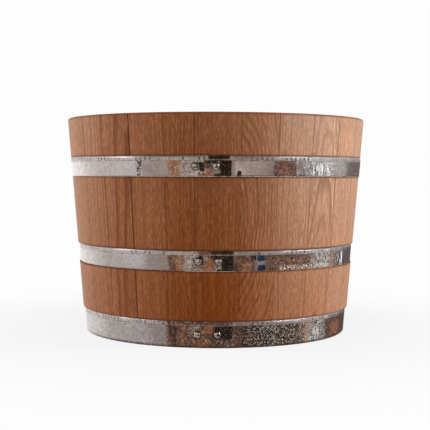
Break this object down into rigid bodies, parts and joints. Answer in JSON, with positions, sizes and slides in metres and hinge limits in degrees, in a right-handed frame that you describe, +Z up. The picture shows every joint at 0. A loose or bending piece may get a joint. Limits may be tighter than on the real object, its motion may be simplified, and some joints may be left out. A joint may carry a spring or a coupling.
{
  "type": "barrel planter",
  "caption": "Half-barrel planter: tapered oak staves held by three riveted steel hoops, open top, drained board floor.",
  "frame": {"origin": "centre of the base, on the surface that the planter stands on", "axes": "+Z up along the tub's axis; -Y is the front, where the hoops are lapped and riveted"},
  "size_m": [0.5994, 0.5995, 0.425],
  "materials": {
    "stave_oak": "oiled",
    "floor_oak": "sawn",
    "dowel_beech": "turned",
    "hoop_steel": "galvanised, weathered",
    "rivet_steel": "hammered, weathered"
  },
  "bodies": {
    "root": {"stave_01": "stave_oak", "stave_02": "stave_oak", "stave_03": "stave_oak", "stave_04": "stave_oak", "stave_05": "stave_oak", "stave_06": "stave_oak", "stave_07": "stave_oak", "stave_08": "stave_oak", "stave_09": "stave_oak", "stave_10": "stave_oak", "stave_11": "stave_oak", "stave_12": "stave_oak", "stave_13": "stave_oak", "stave_14": "stave_oak", "stave_15": "stave_oak", "stave_16": "stave_oak", "stave_17": "stave_oak", "stave_18": "stave_oak", "stave_19": "stave_oak", "stave_20": "stave_oak", "stave_21": "stave_oak", "stave_22": "stave_oak", "stave_23": "stave_oak", "stave_24": "stave_oak", "stave_25": "stave_oak", "stave_26": "stave_oak", "hoop_top": "hoop_steel", "hoop_middle": "hoop_steel", "hoop_bottom": "hoop_steel", "rivet_top_left": "rivet_steel", "rivet_top_right": "rivet_steel", "rivet_middle_left": "rivet_steel", "rivet_middle_right": "rivet_steel", "rivet_bottom_left": "rivet_steel", "rivet_bottom_right": "rivet_steel", "floor_board_1": "floor_oak", "floor_board_2": "floor_oak", "floor_board_3": "floor_oak", "floor_board_4": "floor_oak", "floor_board_5": "floor_oak", "dowel_1": "dowel_beech", "dowel_2": "dowel_beech", "dowel_3": "dowel_beech", "dowel_4": "dowel_beech", "dowel_5": "dowel_beech", "dowel_6": "dowel_beech", "dowel_7": "dowel_beech", "dowel_8": "dowel_beech"}
  },
  "joints": []
}
